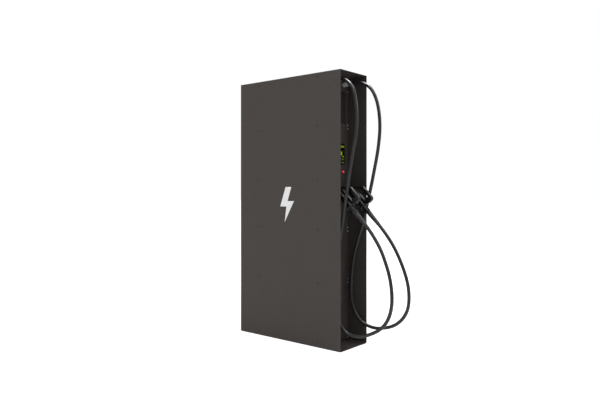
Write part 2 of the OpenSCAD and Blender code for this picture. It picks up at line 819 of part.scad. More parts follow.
// Charging cables, each one round tube along its route
module tube_along(route, r, n) {
    points = [for (i = [0 : len(route) - 1]) each ring_points(route[i], tangent(route, i), r, n)];
    last = (len(route) - 1) * n;
    walls = [for (i = [0 : len(route) - 2], j = [0 : n - 1]) each [
        [i * n + j, i * n + (j + 1) % n, (i + 1) * n + j],
        [i * n + (j + 1) % n, (i + 1) * n + (j + 1) % n, (i + 1) * n + j]
    ]];
    ends = [[for (j = [n - 1 : -1 : 0]) j], [for (j = [0 : n - 1]) last + j]];
    polyhedron(points, concat(walls, ends));
}
module charging_cable(route, side) { color(CABLE) tube_along(fitted(route, side), cable_r, cable_sides); }
module left_charging_cable() { charging_cable(left_route, -1); }
module right_charging_cable() { charging_cable(right_route, 1); }

// Connectors. at_connector puts the grip's upper end at the origin, along_grip turns Z down the slope.
module at_connector(s) {
    translate([s * connector_x, front_y - grip_reach, connector_z]) children();
}
module along_grip() {
    rotate([90 + grip_tilt, 0, 0]) children();
}
// A closed loop with a soft-edged section between an outer and an inner outline
module grip_loop() {
    level = nose_h / 2;
    steps = 5;
    soft = 4.5;
    outer = rounded_outline(
        [level_point(grip_foot, level), level_point(grip_top, level),
            grip_point(grip_top, grip_l), grip_point(grip_foot, grip_l)],
        [3, 10, grip_nose_r, grip_corner_r], steps);
    inner = rounded_outline(
        [level_point(grip_inner_foot, level - grip_root), level_point(grip_inner_top, level - grip_root),
            grip_point(grip_inner_top, grip_l - grip_end),
            grip_point(grip_inner_foot, grip_l - grip_end)],
        [3, 6, 10, 14], steps);
    section = [for (q = [[1, 1], [-1, 1], [-1, -1], [1, -1]], k = [0 : 2])
        let (a = (k + (q[0] > 0 ? (q[1] > 0 ? 0 : 6) : (q[1] > 0 ? 2 : 4))) * 45)
        [q[0], q[1], cos(a), sin(a)]];
    m = len(section);
    n = len(outer);
    points = [for (i = [0 : n - 1])
        let (o = outer[i], c = inner[i], mid = (o + c) / 2, d = unit(o - c), h = norm(o - c) / 2)
        for (e = section)
        let (p = mid + d * (e[0] * (h - soft) + soft * e[2]))
        [e[1] * (grip_w / 2 - soft) + soft * e[3], -p[0], p[1]]];
    faces = [for (i = [0 : n - 1], j = [0 : m - 1])
        let (a = i * m + j, b = i * m + (j + 1) % m, c = ((i + 1) % n) * m + j,
            d = ((i + 1) % n) * m + (j + 1) % m)
        each [[a, b, c], [b, d, c]]];
    polyhedron(points, faces);
}
module nose_slab(out, t, w, h, r) {
    translate([0, -out + grip_reach, 0]) rotate([90, 0, 0]) translate([0, 0, -t / 2])
        linear_extrude(t) hull() for (x = [-1, 1], y = [-1, 1])
            translate([x * (w / 2 - r), y * (h / 2 - r)]) circle(r, $fn = 24);
}
module trigger_profile(c, low_w, high_w) {
    // square to the slope along X, down the slope along Y
    translate([trigger_low - c, low_w]) square([trigger_high - trigger_low + 2 * c, high_w - low_w]);
}
module trigger_solid(c, low_w, high_w) {
    along_grip() rotate([90, 0, 90]) translate([0, 0, -trigger_w / 2 - c])
        linear_extrude(trigger_w + 2 * c) trigger_profile(c, low_w, high_w);
}
module connector_shell(s) {
    color(BLACK) at_connector(s) difference() {
        union() {
            hull() {
                nose_slab(nose_back + 2, 4, nose_w, nose_h, 14);
                nose_slab(nose_front - 2, 4, nose_w - 12, nose_h, 12);
            }
            along_grip() translate([0, 0, -45]) cylinder(h = 45 + barrel_l, r = barrel_r, $fn = 48);
            grip_loop();
        }
        trigger_solid(trigger_fit, trigger_face - 2, trigger_back + trigger_travel + 1);
        along_grip() for (x = [-1, 1]) translate([x * grip_w / 2, grip_top - 30, grip_l - 9])
            rotate([0, -x * 90, 0]) cylinder(h = 3.2, r = 3.4, $fn = 24);
    }
}
module connector_screws() {
    color(NICKEL) for (s = [-1, 1]) at_connector(s) along_grip() for (x = [-1, 1])
        translate([x * (grip_w / 2 - 3.2), grip_top - 30, grip_l - 9]) rotate([0, x * 90, 0])
            difference() {
                cylinder(h = 2.4, r = 3.2, $fn = 24);
                translate([0, 0, 1.2]) cylinder(h = 2, r = 1.5, $fn = 6);
            }
}
module release_trigger(s) {
    r = (trigger_high - trigger_low) / 2;
    color(BLACK) at_connector(s) intersection() {
        trigger_solid(0, trigger_face, trigger_back);
        along_grip() translate([-grip_w, (trigger_low + trigger_high) / 2, trigger_face + r * 1.6])
            rotate([0, 90, 0]) cylinder(h = 2 * grip_w, r = r * 1.6);
    }
}
// Figure of the contact insert: a round upper part over two power contacts
round_z = nose_h / 2 - insert_r - insert_rim;
power_z = -nose_h / 2 + power_r + insert_rim + 4;
module insert_outline(c) {
    translate([0, round_z]) circle(insert_r + c);
    translate([-power_pitch / 2, power_z - power_r - c]) square([power_pitch, 2 * (power_r + c)]);
    for (x = [-power_pitch / 2, power_pitch / 2]) translate([x, power_z]) circle(power_r + c, $fn = 48);
    translate([-power_r - 2 - c, power_z]) square([2 * (power_r + 2 + c), round_z - power_z]);
}
module contact_insert(s) {
    hole_l = insert_l * 0.75;
    color("#2a2a2b") at_connector(s) translate([0, grip_reach - nose_back, 0])
        rotate([-90, 0, 0]) mirror([0, 1, 0]) difference() {
            linear_extrude(insert_l) insert_outline(0);
            for (x = [-power_pitch / 2, power_pitch / 2]) translate([x, power_z, insert_l - hole_l])
                cylinder(h = hole_l + 2, r = power_r / 2);
            for (a = [0 : 60 : 300])
                translate([cos(a) * insert_r / 2, round_z + sin(a) * insert_r / 2, insert_l - hole_l])
                cylinder(h = hole_l + 2, r = 3.2, $fn = 24);
        }
}
module clamp_nut(s) {
    color(BLACK) at_connector(s) along_grip() translate([0, 0, barrel_l]) {
        rotate_extrude() polygon([
            [0, 0], [flange_r - 1, 0], [flange_r, 1], [flange_r, 4.5], [flange_r - 1.5, 6], [0, 6]
        ]);
        cylinder(h = clamp_l, r = clamp_r - 1.4);
        translate([0, 0, clamp_l - eps]) cylinder(h = 6 + eps, r1 = clamp_r, r2 = clamp_r - 1.5);
        linear_extrude(clamp_l) for (i = [0 : clamp_ribs - 1]) rotate([0, 0, i * 360 / clamp_ribs])
            translate([clamp_r - 2.4, -1.5]) square([2.4, 3]);
    }
}
// A slim cone that keeps the cable from bending sharply where it leaves the nut
module boot(s) {
    steps = 8;
    tip_r = cable_r + 1.4;
    color(CABLE) at_connector(s) along_grip() translate([0, 0, boot_start]) difference() {
        rotate_extrude() polygon([
            [0, 0], [boot_r - 1, 0],
            for (i = [0 : steps]) let (t = i / steps)
                [tip_r + (boot_r - tip_r) * (1 + cos(180 * t)) / 2, 3 + t * (boot_l - 5)],
            [tip_r - 0.6, boot_l], [0, boot_l]
        ]);
        translate([0, 0, boot_l - cable_socket_l]) cylinder(h = cable_socket_l + 1, r = cable_r + cable_fit);
    }
}
module left_connector_shell() { connector_shell(-1); }
module left_contact_insert() { contact_insert(-1); }
module left_release_trigger() { release_trigger(-1); }
module left_clamp_nut() { clamp_nut(-1); }
module left_boot() { boot(-1); }
module right_connector_shell() { connector_shell(1); }
module right_contact_insert() { contact_insert(1); }
module right_release_trigger() { release_trigger(1); }
module right_clamp_nut() { clamp_nut(1); }
module right_boot() { boot(1); }

// Holsters, each a blind socket that the connector's insert sits in
module holster(s) {
    color(BLACK) translate([s * connector_x, front_y, connector_z]) rotate([90, 0, 0]) difference() {
        linear_extrude(holster_d) rounded_rect(holster_w, nose_h, 12);
        translate([0, 0, 6]) linear_extrude(holster_d) insert_outline(insert_fit);
    }
}
module left_holster() { holster(-1); }
module right_holster() { holster(1); }

// Fan behind the air grille, blowing along Y
module at_fan() {
    translate([0, fan_y, vent_z]) rotate([-90, 0, 0]) children();
}
module fan_frame() {
    color(BLACK) at_fan() {
        difference() {
            translate([-fan_size / 2, -fan_size / 2, 0]) cube([fan_size, fan_size, fan_depth]);
            translate([0, 0, -1]) cylinder(h = fan_depth + 2, r = fan_bore_r, $fn = 96);
            for (x = [-1, 1], y = [-1, 1]) translate([x * fan_size * 0.45, y * fan_size * 0.45, -1])
                cylinder(h = fan_depth + 2, r = 2.6, $fn = 24);
        }
        translate([0, 0, fan_depth - 6]) {
            cylinder(h = 6, r = fan_hub_r);
            for (a = [30 : 120 : 270]) rotate([0, 0, a]) translate([fan_hub_r - 2, -4, 0])
                cube([fan_bore_r - fan_hub_r + 3, 8, 5]);
        }
        translate([0, 0, 14]) cylinder(h = fan_depth - 18, r = fan_shaft_r);
    }
}
module fan_rotor() {
    blade_l = fan_bore_r - fan_tip_gap - fan_hub_r;
    color("#2b2b2c") at_fan() difference() {
        union() {
            translate([0, 0, 7]) cylinder(h = fan_depth - 14, r = fan_hub_r - 1);
            intersection() {
                cylinder(h = fan_depth, r = fan_bore_r - fan_tip_gap, $fn = 96);
                for (i = [0 : fan_blades - 1]) rotate([0, 0, i * 360 / fan_blades])
                    translate([fan_hub_r - 4, 0, fan_depth / 2 - 2]) rotate([35, 0, 0])
                    translate([0, -20, -1.2]) cube([blade_l + 8, 40, 2.4]);
            }
        }
        translate([0, 0, 13]) cylinder(h = fan_depth, r = fan_shaft_r + 0.05);
    }
}

// Power modules on their shelves
module power_module(i) {
    z = shelf_z + i * shelf_pitch + shelf_t;
    color("#b4b6b8") translate([0, 0, z]) difference() {
        union() {
            translate([-module_w / 2, -module_l / 2, 0]) cube([module_w, module_l, module_h]);
            for (x = [-1, 1]) translate([x * module_w * 0.42 - 3, -module_l / 2 - 14, module_h * 0.2])
                difference() {
                    cube([6, 15, module_h * 0.6]);
                    translate([-1, 5, 6]) cube([8, 8, module_h * 0.6 - 12]);
                }
        }
        for (x = [-1, 1]) translate([x * module_w * 0.19, -module_l / 2 - 1, module_h / 2])
            rotate([-90, 0, 0]) difference() {
                cylinder(h = 4, r = module_h * 0.4);
                translate([0, 0, -1]) cylinder(h = 6, r = 13);
            }
    }
}
module power_module_1() { power_module(0); }
module power_module_2() { power_module(1); }
module power_module_3() { power_module(2); }
module module_shelves() {
    color(STEEL) for (i = [0 : 2]) translate([-inner_w / 2, -module_l / 2, shelf_z + i * shelf_pitch])
        cube([inner_w, module_l, shelf_t]);
}

// Electrical gear on a plate that the back rails carry
mount_y = post_back - rail_t - mount_t;
module mounting_plate() {
    w = 2 * (rail_x - plate_side_gap) - 2;
    color(STEEL) {
        translate([-w / 2, mount_y, z_holster - rail_h / 2])
            cube([w, mount_t, z_vent - z_holster + rail_h]);
        for (x = [-0.4, 0.4], z = [-0.38, 0.38])
            translate([x * board_w, mount_y, (z_display + z_vent) / 2 + z * board_h])
            rotate([90, 0, 0]) cylinder(h = standoff_h, r = 4, $fn = 24);
    }
}
module controller_board() {
    z = (z_display + z_vent) / 2;
    chip = board_w / 4;
    plug = board_w / 10;
    can_r = board_w / 20;
    color("#1f5a34") translate([0, mount_y - standoff_h, z]) {
        translate([-board_w / 2, -board_t, -board_h / 2]) cube([board_w, board_t, board_h]);
        translate([-chip / 2, -board_t - chip / 10, -chip * 0.45])
            cube([chip, chip / 10 + board_t / 2, chip * 0.9]);
        for (x = [-0.41, -0.27, 0.21, 0.35]) translate([x * board_w, -board_t - plug * 0.75, board_h * 0.32])
            cube([plug, plug * 0.75 + board_t / 2, plug * 0.9]);
        for (x = [-0.37, -0.21, 0.28]) translate([x * board_w, -board_t / 2, -board_h * 0.32])
            rotate([90, 0, 0]) cylinder(h = 2.2 * can_r, r = can_r);
    }
}
module contactors() {
    z = (z_holster + z_display) / 2 + contactor_l;
    base = contactor_l / 9;
    color(BLACK) for (x = [-contactor_x, contactor_x]) translate([x, mount_y, z]) rotate([90, 0, 0]) {
        translate([-contactor_r - 2, -contactor_r * 1.33, 0])
            cube([2 * contactor_r + 4, contactor_r * 2.66, base]);
        translate([0, 0, base - 1]) cylinder(h = contactor_l - base, r = contactor_r);
        for (y = [-0.4, 0.4]) translate([0, y * contactor_r, contactor_l - 2])
            cylinder(h = base + 2, r = contactor_r / 6);
    }
}
module terminal_block() {
    z = z_holster + 1.75 * terminal_h;
    row = terminal_count * terminal_pitch;
    foot = terminal_d / 6;
    width = terminal_pitch - 2;
    color("#6d7174") translate([0, mount_y, z]) {
        translate([-row / 2 - width / 2, -foot, -terminal_h / 3]) cube([row + width, foot, terminal_h * 2 / 3]);
        for (i = [0 : terminal_count - 1])
            translate([-row / 2 + 1 + i * terminal_pitch, 1 - foot - terminal_d, -terminal_h / 2])
            difference() {
                cube([width, terminal_d, terminal_h]);
                for (h = [0.25, 0.75]) translate([width / 2, -1, h * terminal_h]) rotate([-90, 0, 0])
                    cylinder(h = terminal_d * 0.3, r = width / 4, $fn = 24);
            }
    }
}
module supply_gland() {
    color(BLACK) translate([0, supply_y, 0]) difference() {
        union() {
            translate([0, 0, 0.5]) cylinder(h = floor_t, r = supply_r + 6);
            translate([0, 0, floor_t]) cylinder(h = 8, r = supply_r + 14, $fn = 6);
            translate([0, 0, floor_t + 7]) cylinder(h = 20, r = supply_r + 10);
            translate([0, 0, floor_t + 27]) cylinder(h = 12, r1 = supply_r + 10, r2 = supply_r + 4);
        }
        translate([0, 0, -1]) cylinder(h = floor_t + 42, r = supply_r);
    }
}

left_side_panel();
right_side_panel();
roof_panel();
floor_plate();
front_left_upright();
front_right_upright();
rear_left_upright();
rear_right_upright();
cross_rails();
side_rails();
left_panel_screws();
right_panel_screws();
front_plate_screws();
back_plate_screws();
lightning_emblem();
gland_plate();
vent_plate();
air_grille();
display_plate();
holster_plate();
upper_service_plate();
lower_service_plate();
back_vent_plate();
back_service_plate();
display_glass();
display_module();
stop_button_cap();
stop_button_collar();
stop_button_switch();
left_gland_body();
left_gland_nut();
right_gland_body();
right_gland_nut();
gland_locknuts();
left_charging_cable();
right_charging_cable();
left_connector_shell();
left_contact_insert();
left_release_trigger();
left_clamp_nut();
left_boot();
right_connector_shell();
right_contact_insert();
right_release_trigger();
right_clamp_nut();
right_boot();
connector_screws();
left_holster();
right_holster();
fan_frame();
fan_rotor();
power_module_1();
power_module_2();
power_module_3();
module_shelves();
mounting_plate();
controller_board();
contactors();
terminal_block();
supply_gland();
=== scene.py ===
"""Looks of the free-standing two-cable vehicle charging station, in metres, in the part's own frame."""

import json
import math

import bmesh
import bpy
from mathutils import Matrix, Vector


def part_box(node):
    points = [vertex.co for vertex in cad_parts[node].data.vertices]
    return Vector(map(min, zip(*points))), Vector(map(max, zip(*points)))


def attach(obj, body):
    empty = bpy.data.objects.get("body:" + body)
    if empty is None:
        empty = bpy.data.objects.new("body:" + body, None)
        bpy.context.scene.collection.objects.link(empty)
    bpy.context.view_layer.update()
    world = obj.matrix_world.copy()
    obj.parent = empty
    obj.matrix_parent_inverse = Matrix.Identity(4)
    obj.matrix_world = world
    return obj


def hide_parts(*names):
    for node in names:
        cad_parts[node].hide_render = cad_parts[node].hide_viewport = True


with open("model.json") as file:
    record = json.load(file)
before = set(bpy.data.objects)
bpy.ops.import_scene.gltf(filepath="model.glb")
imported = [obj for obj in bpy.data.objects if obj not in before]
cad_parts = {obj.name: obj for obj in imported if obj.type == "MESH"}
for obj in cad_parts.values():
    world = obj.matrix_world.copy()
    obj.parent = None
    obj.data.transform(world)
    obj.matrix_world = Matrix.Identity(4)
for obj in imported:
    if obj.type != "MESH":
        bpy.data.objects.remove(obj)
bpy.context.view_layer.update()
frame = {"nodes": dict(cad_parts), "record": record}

NODES = frame["nodes"]
BODY = "cabinet"

# Camera at the photograph's viewing angle: level, from the left of the front
CAMERA_PLACE = (-3.15156, -2.62896, 1.02993)
CAMERA_LOOK = (0.76665, 0.64206, 0.0)
LENS_MM = 35.0
SENSOR_MM = 36.0
SHIFT_DOWN = -0.02386

CABLE_RADIUS = 0.011
CABLE_FACETS = 6
CURVE_STEPS = 6

# Floor: full brightness from FLOOR_FAR outwards, and less towards the object, where its shadow shows
FLOOR_SIZE = 40.0
FLOOR_NEAR = 0.8
FLOOR_FAR = 3.2
FLOOR_GLOW = 0.72

# Levels of the floor and the sky in diffuse light and in reflections, where the camera's own is 1
FLOOR_BOUNCE = 0.08
REFLECTED_FLOOR = 0.15
SKY_LEVEL = 0.44
REFLECTED_LEFT = 0.08
REFLECTED_RIGHT = 0.5

# Lights: name, place, target, side in metres, watts, and whether diffuse and glossy surfaces show it
MIDDLE = (0.0, 0.0, 0.9)
RECESS_TOP = (0.0, -0.5, 1.3)
LIGHTS = [
    ("key", (-4.5, 0.5, 2.6), MIDDLE, 2.6, 61.0, True, False),
    ("top", (-1.6, -2.2, 4.2), MIDDLE, 1.6, 3.0, True, True),
    ("ceiling", (0.3, -0.75, 4.6), (0.1, -0.5, 0.0), 1.0, 58.0, True, False),
    ("back", (3.0, 3.5, 3.5), MIDDLE, 3.0, 40.0, True, True),
    ("overhead", (0.4, -0.5, 4.6), RECESS_TOP, 1.2, 240.0, False, True),
    ("right", (2.6, -0.7, 3.4), RECESS_TOP, 1.2, 10.0, False, True),
    ("shoulder", (-1.7, -1.3, 4.0), (0.0, -0.6, 1.0), 1.5, 24.0, False, True),
    ("front", (1.0, -3.0, 2.6), (0.0, -0.5, 0.4), 1.0, 28.0, False, True),
]

# Noise values between which a surface goes from its one colour or roughness to the other
NOISE_LOW = 0.35
NOISE_HIGH = 0.65

# Display: distances below the top edge of the glass, and places across it
TOP_BAR = (0.0255, 0.0120)
TOP_BAR_HALF = 0.0995
LEVEL_BLOCK = (0.0775, 0.0530)
LEVEL_BLOCK_ACROSS = 0.061
LEVEL_BLOCK_HALF = 0.016
LEVEL_FOOT = (0.0885, 0.0815)
LEVEL_FOOT_HALF = 0.010
CAPTION = (0.0500, 0.0430)
CAPTION_HALF = 0.011
OUTLETS = (-0.086, 0.086)
ARROW_COLUMNS = (-0.082, -0.041, 0.0, 0.041, 0.082)
ARROW_ROWS = (0.0965, 0.1190)
ARROW_HALF = 0.0205
ARROW_DROP = 0.0125
ARROW_THICK = 0.0075
GRAPHIC_LIFT = 0.0002
GRAPHIC_SINK = 0.0004

# Painted highlight on the front of the stop button: a white band that glows faintly
HIGHLIGHT_HALF = 0.0055
HIGHLIGHT_HALF_HEIGHT = 0.003
HIGHLIGHT_CORNER = 0.001

# The same route points as the part's source, in metres
LEFT_ROUTE = [
    (-0.095, -0.290, 1.750), (-0.095, -0.350, 1.750), (-0.095, -0.400, 1.749), (-0.095, -0.440, 1.741),
    (-0.096, -0.475, 1.720), (-0.097, -0.503, 1.688), (-0.098, -0.522, 1.645), (-0.099, -0.533, 1.590),
    (-0.101, -0.541, 1.520), (-0.103, -0.542, 1.440), (-0.104, -0.534, 1.365), (-0.107, -0.519, 1.290),
    (-0.109, -0.504, 1.210), (-0.112, -0.490, 1.125), (-0.113, -0.477, 1.035), (-0.114, -0.462, 0.945),
    (-0.114, -0.445, 0.855), (-0.114, -0.427, 0.765), (-0.114, -0.409, 0.670), (-0.114, -0.393, 0.570),
    (-0.113, -0.383, 0.470), (-0.113, -0.380, 0.375), (-0.112, -0.387, 0.280), (-0.111, -0.405, 0.200),
    (-0.109, -0.435, 0.145), (-0.107, -0.480, 0.115), (-0.105, -0.535, 0.109), (-0.103, -0.595, 0.118),
    (-0.101, -0.650, 0.140), (-0.098, -0.705, 0.172), (-0.096, -0.750, 0.218), (-0.094, -0.778, 0.275),
    (-0.091, -0.790, 0.345), (-0.087, -0.785, 0.425), (-0.083, -0.768, 0.505), (-0.079, -0.740, 0.580),
    (-0.076, -0.700, 0.665), (-0.074, -0.645, 0.745), (-0.074, -0.589, 0.812), (-0.074, -0.572, 0.829),
]
RIGHT_ROUTE = [
    (0.095, -0.290, 1.750), (0.095, -0.350, 1.750), (0.095, -0.405, 1.750), (0.096, -0.450, 1.744),
    (0.096, -0.490, 1.725), (0.097, -0.523, 1.694), (0.097, -0.549, 1.650), (0.098, -0.568, 1.597),
    (0.100, -0.580, 1.530), (0.102, -0.584, 1.455), (0.103, -0.580, 1.380), (0.106, -0.564, 1.280),
    (0.110, -0.540, 1.180), (0.112, -0.516, 1.080), (0.114, -0.491, 0.985), (0.114, -0.469, 0.900),
    (0.114, -0.443, 0.805), (0.114, -0.410, 0.710), (0.113, -0.383, 0.625), (0.113, -0.364, 0.540),
    (0.112, -0.353, 0.440), (0.112, -0.350, 0.340), (0.111, -0.362, 0.255), (0.110, -0.395, 0.190),
    (0.109, -0.440, 0.150), (0.107, -0.500, 0.128), (0.105, -0.560, 0.125), (0.104, -0.620, 0.136),
    (0.102, -0.680, 0.157), (0.100, -0.730, 0.190), (0.097, -0.770, 0.235), (0.094, -0.796, 0.290),
    (0.091, -0.805, 0.360), (0.087, -0.799, 0.435), (0.083, -0.779, 0.510), (0.080, -0.745, 0.592),
    (0.076, -0.700, 0.676), (0.074, -0.645, 0.750), (0.074, -0.589, 0.812), (0.074, -0.572, 0.829),
]


def make_camera():
    """The photograph's camera."""
    data = bpy.data.cameras.new("camera")
    data.lens = LENS_MM
    data.sensor_width = SENSOR_MM
    data.shift_y = SHIFT_DOWN
    camera = bpy.data.objects.new("camera", data)
    bpy.context.scene.collection.objects.link(camera)
    camera.location = CAMERA_PLACE
    camera.rotation_mode = "QUATERNION"
    camera.rotation_quaternion = Vector(CAMERA_LOOK).to_track_quat("-Z", "Y")
    bpy.context.scene.camera = camera


def smooth_route(points):
    """The route with extra points between its own, on a curve that passes through each of them."""
    p = [Vector(q) for q in points]
    p = [2 * p[0] - p[1]] + p + [2 * p[-1] - p[-2]]
    line = []
    for i in range(1, len(p) - 2):
        for k in range(CURVE_STEPS):
            t = k / CURVE_STEPS
            line.append(0.5 * (
                2 * p[i] + (p[i + 1] - p[i - 1]) * t
                + (2 * p[i - 1] - 5 * p[i] + 4 * p[i + 1] - p[i + 2]) * t ** 2
                + (3 * p[i] - p[i - 1] - 3 * p[i + 1] + p[i + 2]) * t ** 3
            ))
    return line + [p[-2]]


def make_cable(name, route, side):
    """One charging cable's cord on its route, in place of the part's own cord, which it hides."""
    line = smooth_route(route)
    data = bpy.data.curves.new(name, "CURVE")
    data.dimensions = "3D"
    data.bevel_depth = 1.0  # times each point's radius
    data.bevel_resolution = CABLE_FACETS
    data.use_fill_caps = True
    spline = data.splines.new("POLY")
    spline.points.add(len(line) - 1)
    for point, place in zip(spline.points, line):
        point.co = (*place, 1.0)
        point.radius = CABLE_RADIUS
    spline.use_smooth = True
    cable = bpy.data.objects.new(name, data)
    bpy.context.scene.collection.objects.link(cable)
    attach(cable, BODY)
    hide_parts(side + "_charging_cable")
    return cable


def srgb(*levels):
    """A linear colour from the 0 to 255 levels that a surface shows."""
    linear = [
        v / 255 / 12.92 if v / 255 <= 0.04045 else ((v / 255 + 0.055) / 1.055) ** 2.4
        for v in levels
    ]
    return (*linear, 1.0)


def shade(colour, factor):
    """A colour made lighter or darker."""
    return (*[c * factor for c in colour[:3]], 1.0)


class Surface:
    """A procedural material: uneven colour and roughness, and fine relief, in real scale."""

    def __init__(self, name, metallic=0.0):
        self.material = bpy.data.materials.new(name)
        self.material.use_nodes = True
        self.nodes = self.material.node_tree.nodes
        self.links = self.material.node_tree.links
        self.shader = self.nodes["Principled BSDF"]
        self.shader.inputs["Metallic"].default_value = metallic
        self.place = self.nodes.new("ShaderNodeTexCoord").outputs["Object"]

    def noise(self, scale, detail=3.0, stretch=None):
        place = self.place
        if stretch:
            mapping = self.nodes.new("ShaderNodeMapping")
            mapping.inputs["Scale"].default_value = stretch
            self.links.new(place, mapping.inputs["Vector"])
            place = mapping.outputs["Vector"]
        noise = self.nodes.new("ShaderNodeTexNoise")
        noise.inputs["Scale"].default_value = scale
        noise.inputs["Detail"].default_value = detail
        self.links.new(place, noise.inputs["Vector"])
        return noise.outputs["Fac"]

    def ramp(self, value, low, high):
        ramp = self.nodes.new("ShaderNodeValToRGB")
        ramp.color_ramp.elements[0].position = NOISE_LOW
        ramp.color_ramp.elements[0].color = low
        ramp.color_ramp.elements[1].position = NOISE_HIGH
        ramp.color_ramp.elements[1].color = high
        self.links.new(value, ramp.inputs["Fac"])
        return ramp.outputs["Color"]

    def colour(self, value, low, high):
        self.links.new(self.ramp(value, low, high), self.shader.inputs["Base Color"])
        return self

    def rough(self, value, low, high):
        spread = self.nodes.new("ShaderNodeMapRange")
        spread.inputs["From Min"].default_value = NOISE_LOW
        spread.inputs["From Max"].default_value = NOISE_HIGH
        spread.inputs["To Min"].default_value = low
        spread.inputs["To Max"].default_value = high
        self.links.new(value, spread.inputs["Value"])
        self.links.new(spread.outputs["Result"], self.shader.inputs["Roughness"])
        return self

    def relief(self, value, depth, strength=0.5):
        bump = self.nodes.new("ShaderNodeBump")
        bump.inputs["Distance"].default_value = depth
        bump.inputs["Strength"].default_value = strength
        self.links.new(value, bump.inputs["Height"])
        self.links.new(bump.outputs["Normal"], self.shader.inputs["Normal"])
        return self


def powder_coat(name, tone, level=1.0, contrast=0.2):
    """Fine-textured powder coat: a speckle of lighter and darker grains over faint clouding."""
    surface = Surface(name)
    speckle = surface.noise(1400.0, 2.0)
    surface.colour(speckle, shade(tone, (1.0 - contrast) * level), shade(tone, (1.0 + contrast) * level))
    surface.rough(surface.noise(6.0, 4.0), 0.52, 0.64)
    surface.relief(surface.noise(700.0, 3.0), 0.00012, 0.45)
    surface.shader.inputs["Specular IOR Level"].default_value = 0.2
    return surface.material


def moulded_plastic(name, tone, low=0.34, high=0.5):
    """Moulded plastic with a fine grain from its mould and slightly uneven gloss."""
    surface = Surface(name)
    surface.colour(surface.noise(40.0, 5.0), shade(tone, 0.85), shade(tone, 1.15))
    surface.rough(surface.noise(90.0, 4.0), low, high)
    surface.relief(surface.noise(1100.0, 2.0), 0.00008, 0.4)
    return surface.material


def cable_jacket(name, tone):
    """Smooth extruded jacket, dulled by handling in long soft patches."""
    surface = Surface(name)
    surface.colour(surface.noise(22.0, 5.0), shade(tone, 0.86), shade(tone, 1.14))
    surface.rough(surface.noise(15.0, 4.0), 0.34, 0.42)
    surface.relief(surface.noise(420.0, 3.0), 0.00006, 0.35)
    return surface.material


def bright_metal(name, tone, low, high, brushed=(1.0, 1.0, 1.0), metallic=1.0):
    """Plated or plain metal with fine brushing along one direction."""
    surface = Surface(name, metallic)
    surface.colour(surface.noise(30.0, 4.0), shade(tone, 0.88), shade(tone, 1.0))
    surface.rough(surface.noise(160.0, 4.0, brushed), low, high)
    surface.relief(surface.noise(500.0, 2.0, brushed), 0.00003, 0.3)
    return surface.material


def glossy_plastic(name, tone, low, high, glow=0.0):
    """Polished plastic or glass, slightly wavy, with a faint painted glow where glow is above 0."""
    surface = Surface(name)
    surface.shader.inputs["Emission Color"].default_value = tone
    surface.shader.inputs["Emission Strength"].default_value = glow
    surface.colour(surface.noise(60.0, 3.0), shade(tone, 0.92), shade(tone, 1.05))
    surface.rough(surface.noise(50.0, 5.0), low, high)
    surface.relief(surface.noise(35.0, 1.0), 0.00005, 0.15)
    return surface.material


def circuit_green(name):
    """Solder mask with faint copper tracks under it."""
    surface = Surface(name)
    wave = surface.nodes.new("ShaderNodeTexWave")
    wave.bands_direction = "DIAGONAL"
    wave.inputs["Scale"].default_value = 90.0
    wave.inputs["Distortion"].default_value = 6.0
    surface.links.new(surface.place, wave.inputs["Vector"])
    surface.colour(wave.outputs["Fac"], srgb(20, 74, 38), srgb(34, 100, 56))
    surface.rough(surface.noise(40.0), 0.3, 0.4)
    return surface.material


def lit_material(name, tone, strength):
    """A lit part of the display, with the faint grid of its pixels."""
    surface = Surface(name)
    surface.colour(surface.noise(500.0, 1.0), shade(tone, 0.2), shade(tone, 0.3))
    pixels = surface.ramp(surface.noise(900.0, 1.0), shade(tone, 0.85), tone)
    surface.links.new(pixels, surface.shader.inputs["Emission Color"])
    surface.shader.inputs["Emission Strength"].default_value = strength
    surface.rough(surface.noise(50.0), 0.15, 0.25)
    return surface.material


DARK_TONE = srgb(79, 74, 71)
MATERIALS = {
    "dark_paint": powder_coat("dark_paint", DARK_TONE),
    # Painted shade: the dark paint at 0.62 of its level on the air grille, for the shade between its blades
    "grille_paint_painted_shade": powder_coat("grille_paint_painted_shade", DARK_TONE, 0.62),
    "black_steel": powder_coat("black_steel", srgb(40, 38, 37)),
    "zinc_steel": bright_metal("zinc_steel", srgb(150, 153, 156), 0.34, 0.5, (1.0, 1.0, 0.1)),
    "screw_steel": bright_metal("screw_steel", srgb(236, 236, 234), 0.34, 0.5, metallic=0.4),
    "white_sheet": powder_coat("white_sheet", srgb(250, 250, 250), 0.96, 0.04),
    "black_plastic": moulded_plastic("black_plastic", srgb(20, 20, 21), 0.28, 0.36),
    # Painted light: a lighter copy of the black plastic on the clamp nuts, for the light they catch
    "clamp_plastic_painted_light": moulded_plastic("clamp_plastic_painted_light", srgb(36, 36, 38), 0.3, 0.4),
    # Painted shade: a darker copy of the black plastic on the release triggers, for the shade inside the
    # grip loops
    "trigger_plastic_painted_shade": moulded_plastic("trigger_plastic_painted_shade", srgb(9, 9, 10), 0.5, 0.62),
    "grey_plastic": moulded_plastic("grey_plastic", srgb(62, 62, 64)),
    "cable_rubber": cable_jacket("cable_rubber", srgb(47, 47, 48)),
    "screen_glass": glossy_plastic("screen_glass", srgb(4, 4, 5), 0.05, 0.1),
    "screen_housing": moulded_plastic("screen_housing", srgb(44, 47, 49)),
    # Painted light: the stop button's cap glows faintly, brighter than its shaded place in the recess is
    # lit
    "red_plastic": glossy_plastic("red_plastic", srgb(225, 18, 18), 0.12, 0.22, glow=0.28),
    "nickel": bright_metal("nickel", srgb(250, 249, 246), 0.26, 0.38, metallic=0.1),
    "cast_aluminium": bright_metal("cast_aluminium", srgb(178, 180, 182), 0.34, 0.5, (0.1, 1.0, 1.0)),
    "circuit_board": circuit_green("circuit_board"),
}


